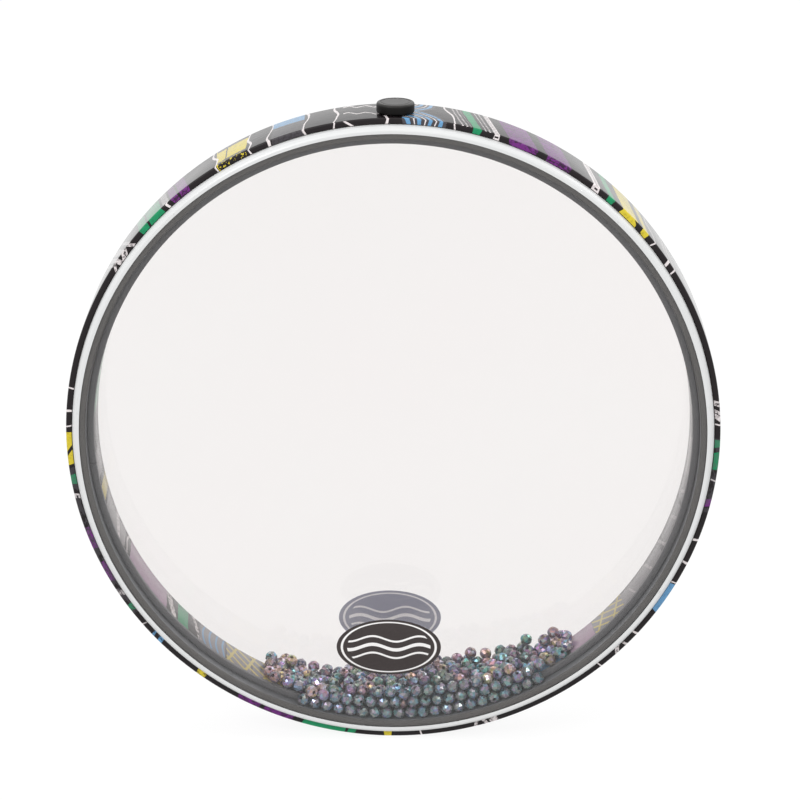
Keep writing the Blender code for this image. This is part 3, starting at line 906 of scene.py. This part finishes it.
def wave_badge(label, node, sign, segments=128):
    """Thin oval badge with a slightly smaller outer face."""
    lo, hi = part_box(node)
    centre_x, centre_z = (lo.x + hi.x) / 2, (lo.z + hi.z) / 2
    width, height = hi.x - lo.x, hi.z - lo.z
    near, far = depths(node)
    mat = badge_print(label + "_badge_print", width, height, centre_x, centre_z, sign)
    bm = bmesh.new()
    rims = []
    for share, y in ((1.0, near), (1.0, far - 0.05 * MM), (0.996, far)):
        rim = []
        for k in range(segments):
            angle = 2 * math.pi * k / segments
            rim.append(bm.verts.new((centre_x + share * width / 2 * math.cos(angle), sign * y,
                                     centre_z + share * height / 2 * math.sin(angle))))
        rims.append(rim)
    for low, high in zip(rims, rims[1:]):
        for k in range(segments):
            j = (k + 1) % segments
            bm.faces.new((low[k], low[j], high[j], high[k]))
    bm.faces.new(rims[0][::-1])
    bm.faces.new(rims[-1])
    return link(label + "_wave_badge", bm, mat, smooth_deg=35.0)


# Builder, ending of the CAD piece's name, slot.
SIDE_PIECES = (
    (crown_ring, "_white_ring", "white_plastic"), (bearing_ring, "_black_ring", "black_plastic"),
    (soft_strip, "_foam_gasket", "grey_foam"), (clear_head, "_head", "clear_film"),
    (wave_badge, "_label", "badge_print"))
for label, sign in (("front", -1), ("rear", 1)):
    made = [build(label, label + ending, sign) for build, ending, _ in SIDE_PIECES]
    for obj, (_, ending, slot) in zip(made, SIDE_PIECES):
        stand_in(obj, label + ending, slot)


# ------------------------------------------------------------------- the plug
def stopper_plug(segments=96):
    """Stem in the hole, a cap with a rounded shoulder, and a shallow groove in its top."""
    base, top = PLUG_LO.z - SHELL_TOP, PLUG_HI.z - SHELL_TOP
    cap_r = 11.4 * MM
    shoulder_in, shoulder_drop, shoulder_steps = 1.5 * MM, 1.7 * MM, 7
    # (radius, height above the shell's top)
    outline = [(0.0, base), (4.9 * MM, base), (5.7 * MM, base + 0.4 * MM),
               (6.3 * MM, base + 1.8 * MM), (6.8 * MM, 0.3 * MM), (10.7 * MM, 0.3 * MM),
               (11.1 * MM, 0.4 * MM), (11.35 * MM, 0.8 * MM), (cap_r, 1.4 * MM),
               (cap_r, top - shoulder_drop)]
    for k in range(1, shoulder_steps + 1):
        angle = math.pi / 2 * k / shoulder_steps
        outline.append((cap_r - shoulder_in * (1 - math.cos(angle)),
                        top - shoulder_drop + shoulder_drop * math.sin(angle)))
    outline += [(9.2 * MM, top - 0.02 * MM), (9.0 * MM, top - 0.25 * MM),
                (8.6 * MM, top - 0.3 * MM), (8.4 * MM, top - 0.1 * MM),
                (7.5 * MM, top - 0.08 * MM), (3.0 * MM, top - 0.12 * MM), (0.0, top - 0.12 * MM)]
    bm = bmesh.new()
    low_pole, top_pole, loops = spin(
        bm, outline, segments,
        lambda radius, z, angle: (radius * math.cos(angle), radius * math.sin(angle), z))
    for k in range(segments):
        here, there = loops[k], loops[(k + 1) % segments]
        bm.faces.new((low_pole, there[0], here[0]))
        for i in range(len(here) - 1):
            bm.faces.new((here[i], there[i], there[i + 1], here[i + 1]))
        bm.faces.new((here[-1], there[-1], top_pole))
    obj = link("stopper_plug", bm, mat_plug, smooth_deg=50.0)
    obj.location = (PLUG_X, PLUG_Y, SHELL_TOP)
    return obj


stand_in(stopper_plug(), "fill_plug", "plug_rubber", body="fill_plug")

# ------------------------------------------------------------------- the beads
# Bead centres are (x, y, height from the drum's axis) in metres.
BEAD_R = 3.75 * MM
# The heap's top, as (x, height) in mm from the drum's axis, with its two steep ends.
HEAP_TOP = [
    (-80, -200), (-78.6, -172), (-78, -156.9), (-77, -157.2), (-70, -160.2), (-62, -163.8),
    (-55, -165.1), (-46, -166.5), (-38, -168.5), (-25, -167.2), (-11.5, -168.2), (-1.6, -167.2),
    (7.4, -165.3), (16.4, -162.4), (25, -161.3), (34, -159.4), (41, -159.8), (54, -160),
    (60, -158.5), (66, -154), (70, -152), (84, -150.5), (96, -146.5), (104, -141.4),
    (108, -138.5), (110.5, -136.8), (111.5, -172), (113, -200)]
HEAP_X, HEAP_Z = np.array(HEAP_TOP).T * MM
# Single beads left lying on top: x, y and a height to fall from, in mm.
PERCHED = [(84.5, 15, -140), (107.5, 6, -127), (101, 7, -131), (51, 15, -150), (59, 15, -148),
           (-70, 9, -155)]
# Box the heap's beads are drawn from: low and high of x, y and height, in mm.
DRAW_BOX = ((-90, 120), (-15.6, 19.65), (-187, -135))
DRAWS = 300000
FILL_SHARE = 0.58                        # share of the heap's room that is bead
BATCH = 5000                             # draws tried at each spacing below
SPACINGS = (1.75, 1.6, 1.5, 1.4, 1.3, 1.15, 1.0, 0.8)      # in bead radii
SIDE_Y = 19.65 * MM                      # furthest a bead's centre lies from mid-plane
LINING_REACH, GROOVE_REACH = 183.0 * MM, 187.4 * MM        # wall radii a bead can touch
GASKET_Y = 15.3 * MM                     # the gasket's corner, from mid-plane
FRONT_Y = -19.5 * MM                     # centres of the layer against the front head
TRACK_R = 183.55 * MM                    # path of the two loose end beads
TRACK_CLEAR = 7.75 * MM                  # distance the other beads keep from that path
CONTACT = 0.995                          # share of a diameter at which beads touch
NEIGHBOUR = 2.7                          # pairs nearer than this many radii are watched
PUSH = 0.9                               # share of an overlap undone in each pass

singles = sorted([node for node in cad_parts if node.startswith("bead_") and node != "bead_bed"]
                 + ["loose_bead_left", "loose_bead_right"])
held = []
for node in singles:
    lo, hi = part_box(node)
    held.append([(lo.x + hi.x) / 2, (lo.y + hi.y) / 2, (lo.z + hi.z) / 2 - AXIS_Z])
held = np.array(held)
# Angles of the two loose beads, which sort last, and a little towards each other's far side.
held_angles = np.degrees(np.arctan2(held[:, 2], held[:, 0]))
LEFT_END, RIGHT_END = held_angles[-2] - 1.2, held_angles[-1] + 1.2


def lid(x):
    return np.interp(x, HEAP_X, HEAP_Z)


def reach(y):
    """How far from the axis a bead's centre can lie: lining, gasket corner, ring's groove."""
    depth = np.abs(y)
    bend = LINING_REACH - np.sqrt(np.clip(BEAD_R ** 2 - (depth - GASKET_Y) ** 2, 0.0, None))
    wall = np.where(depth <= GASKET_Y, LINING_REACH - BEAD_R,
                    np.where(depth >= GASKET_Y + BEAD_R, GROOVE_REACH - BEAD_R, bend))
    return np.minimum(wall, GROOVE_REACH - BEAD_R)


def confine(free, lidded):
    """Moves bead centres, in place, back inside the drum and off the loose beads' path."""
    free[:, 1] = np.clip(free[:, 1], -SIDE_Y, SIDE_Y)
    if lidded:
        free[:, 2] = np.minimum(free[:, 2], lid(free[:, 0]) - BEAD_R)
    # The path is kept free beyond the ends of the front layer.
    radius = np.hypot(free[:, 0], free[:, 2])
    angle = np.degrees(np.arctan2(free[:, 2], free[:, 0]))
    out, back = radius - TRACK_R, free[:, 1] - FRONT_Y
    away = np.hypot(out, back) + 1e-9
    close = (away < TRACK_CLEAR) & ((angle < LEFT_END) | (angle > RIGHT_END))
    stretch = np.where(close, TRACK_CLEAR / away, 1.0)
    free[:, 1] = FRONT_Y + back * stretch
    wanted = TRACK_R + out * stretch
    shrink = np.minimum(wanted, reach(free[:, 1])) / radius
    free[:, 0] *= shrink
    free[:, 2] *= shrink


def settle(fixed, free, steps, lidded, pull):
    """Relaxes the free beads round the fixed ones, sinking pull radii a step."""
    total = np.vstack([fixed, free])
    count, held_count = len(total), len(fixed)
    least = 2.0 * BEAD_R * CONTACT
    gives = np.ones(count)
    gives[:held_count] = 0.0
    for step in range(steps):
        if step % 5 == 0:
            gap = ((total[:, None] - total[None]) ** 2).sum(-1)
            first, second = np.nonzero(np.triu(gap < (NEIGHBOUR * BEAD_R) ** 2, 1))
            weight = gives[first] + gives[second]
            moves = weight > 0
            first, second, weight = first[moves], second[moves], weight[moves]
        total[held_count:, 2] -= pull * BEAD_R
        for _ in range(4):
            apart = total[first] - total[second]
            dist = np.sqrt((apart ** 2).sum(-1)) + 1e-9
            overlap = np.clip(least - dist, 0.0, None)
            push = (overlap / dist / weight * PUSH)[:, None] * apart
            for axis in range(3):
                total[:, axis] += gives * (np.bincount(first, push[:, axis], count)
                                           - np.bincount(second, push[:, axis], count))
            confine(total[held_count:], lidded)
    return total[held_count:]


def fill(fixed, rng):
    """Random bead centres under the heap's top, spread as evenly as they will go."""
    spots = np.stack([rng.uniform(low, high, DRAWS) for low, high in DRAW_BOX], 1) * MM
    radius = np.hypot(spots[:, 0], spots[:, 2])
    wall, top = reach(spots[:, 1]), lid(spots[:, 0])
    width, depth, height = (high - low for low, high in DRAW_BOX)
    inside = ((radius < wall + BEAD_R) & (spots[:, 2] < top)).mean()
    room = inside * width * (depth + BEAD_R / MM) * height * MM ** 3
    count = int(FILL_SHARE * room / (4 / 3 * math.pi * BEAD_R ** 3))
    spots = spots[(radius < wall) & (spots[:, 2] < top - BEAD_R)]
    kept = np.empty((count, 3))
    n = 0
    for batch, spacing in enumerate(SPACINGS):
        least = (spacing * BEAD_R) ** 2
        for spot in spots[batch * BATCH:(batch + 1) * BATCH]:
            if n == count:
                break
            if (n == 0 or ((kept[:n] - spot) ** 2).sum(1).min() > least) \
                    and ((fixed - spot) ** 2).sum(1).min() > least:
                kept[n] = spot
                n += 1
    return kept[:n]


def bead_solid(rng, sides=8):
    """One faceted, drilled bead about the origin: (points, faces)."""
    axis = Vector(rng.normal(size=3)).normalized()
    turn = Quaternion(axis, rng.uniform(0, 2 * math.pi)).to_matrix()
    squat = rng.uniform(0.95, 1.0)
    belt = rng.uniform(0.18, 0.26)
    # Radius and height in bead radii, and the row's turn in sides.
    rows = [(0.24, -0.76, 0.5), (0.32, -0.97, 0.5), (0.77, -0.70, 0.5), (1.03, -belt, 0.0),
            (1.03, belt, 0.0), (0.77, 0.70, 0.5), (0.32, 0.97, 0.5), (0.24, 0.76, 0.5)]
    points, faces = [], []
    for radius, z, shift in rows:
        for k in range(sides):
            angle = 2 * math.pi * (k + shift) / sides
            points.append(turn @ Vector((BEAD_R * radius * math.cos(angle),
                                         BEAD_R * radius * math.sin(angle), BEAD_R * z * squat)))
    for i, (low, high) in enumerate(zip(rows, rows[1:])):
        for k in range(sides):
            a, b = i * sides + k, i * sides + (k + 1) % sides
            c, d = a + sides, b + sides
            if low[2] == high[2]:
                faces.append((a, b, d, c))
            elif high[2] > low[2]:
                faces += [(a, b, c), (b, d, c)]
            else:
                faces += [(a, b, d), (a, d, c)]
    # The drilled hole's wall joins the last row to the first.
    last = (len(rows) - 1) * sides
    for k in range(sides):
        j = (k + 1) % sides
        faces.append((last + k, last + j, j, k))
    return points, faces


def bead_piece(name, centres, rng):
    points, faces = [], []
    for x, y, height in centres:
        centre = Vector((x, y, height + AXIS_Z))
        bead_points, bead_faces = bead_solid(rng)
        start = len(points)
        points += [tuple(point + centre) for point in bead_points]
        faces += [tuple(start + i for i in face) for face in bead_faces]
    mesh = bpy.data.meshes.new(name)
    mesh.from_pydata(points, [], faces)
    bm = bmesh.new()
    bm.from_mesh(mesh)
    bmesh.ops.recalc_face_normals(bm, faces=bm.faces[:])
    bm.to_mesh(mesh)
    bm.free()
    mesh.materials.append(mat_bead)
    return add_object(name, mesh)


rng = np.random.default_rng(2024)
heap = settle(held, fill(held, rng), steps=400, lidded=True, pull=0.003)
perched = settle(np.vstack([held, heap]), np.array(PERCHED) * MM, steps=150, lidded=False, pull=0.05)
placed = np.vstack([heap, perched])

for node, centre in zip(singles, held):
    piece = bead_piece("facet_" + node, [centre], rng)
    stand_in(piece, node, "bead_glass", body=node if node.startswith("loose") else "bead_pile")
# The rest in six layers from front to rear.
for index, members in enumerate(np.array_split(np.argsort(placed[:, 1]), 6)):
    piece = bead_piece("bead_layer_%d" % (index + 1), placed[members], rng)
    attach(piece, "bead_pile")
    if index == 0:
        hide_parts("bead_bed")


# ----------------------------------------------------------- floor, light, camera
def pale_floor():
    """Mostly glowing floor: the camera sees it white, but the light it throws up is weaker."""
    net = Net("pale_floor")
    even = net.add("ShaderNodeBsdfDiffuse", {0: grey(0.86)})
    seen = net.add("ShaderNodeLightPath", {}, "Is Camera Ray")
    glow = net.add("ShaderNodeEmission", {0: grey(1.0), 1: 0.82 + seen * 0.21})
    return net.finish(net.add("ShaderNodeMixShader", {0: 0.88, 1: even, 2: glow}))


def softbox(name, place, aim, size, power):
    """Square area light."""
    light = bpy.data.lights.new(name, "AREA")
    light.shape = "RECTANGLE"
    light.size = light.size_y = size
    light.energy = power
    obj = add_object(name, light)
    obj.location = place
    obj.rotation_euler = (Vector(aim) - Vector(place)).to_track_quat("-Z", "Y").to_euler()


bm = bmesh.new()
bmesh.ops.create_grid(bm, x_segments=1, y_segments=1, size=12.0)
floor = link("floor", bm, pale_floor(), smooth_deg=None)
floor.location = (0, 0, -0.0005)

world = bpy.data.worlds.new("studio")
SCENE.world = world
world.use_nodes = True
background = world.node_tree.nodes["Background"]
background.inputs["Color"].default_value = grey(1.0)
background.inputs["Strength"].default_value = 1.0
SCENE.view_settings.view_transform = "Standard"

DRUM_AIM, HEAP_AIM = (0, 0, 0.2), (0.02, 0, 0.04)
softbox("key", place=(-1.3, -1.6, 1.9), aim=DRUM_AIM, size=0.9, power=14.0)
softbox("rim", place=(1.5, 1.2, 1.6), aim=DRUM_AIM, size=0.8, power=8.0)
# Small bright lamps, for glints on the beads' facets.
for name, place in (("glint_left", (-0.7, -1.3, 1.5)), ("glint_top", (0.25, -0.5, 1.9)),
                    ("glint_right", (1.0, -1.2, 1.0))):
    softbox(name, place, aim=HEAP_AIM, size=0.16, power=2.2)

AZIMUTH, ELEVATION = math.radians(0.80), math.radians(19.45)
DISTANCE = 1.957
TARGET = Vector((0.0, -HALF, AXIS_Z))            # centre of the front rim
SENSOR, LENS = 36.0, 144.135                     # mm
# Turns that set the target a little left of and below the middle of the view.
TILT_UP, PAN_RIGHT = math.radians(0.66540967), math.radians(0.12700573)

back = Vector((math.sin(AZIMUTH) * math.cos(ELEVATION), -math.cos(AZIMUTH) * math.cos(ELEVATION),
               math.sin(ELEVATION)))
camera_data = bpy.data.cameras.new("camera")
camera_data.sensor_width = SENSOR
camera_data.lens = LENS
camera_data.clip_start, camera_data.clip_end = 0.05, 50.0
camera = add_object("camera", camera_data)
camera.location = TARGET + back * DISTANCE
camera.rotation_mode = "QUATERNION"
camera.rotation_quaternion = ((-back).to_track_quat("-Z", "Y") @ Quaternion((1, 0, 0), TILT_UP)
                              @ Quaternion((0, 1, 0), -PAN_RIGHT))
SCENE.camera = camera
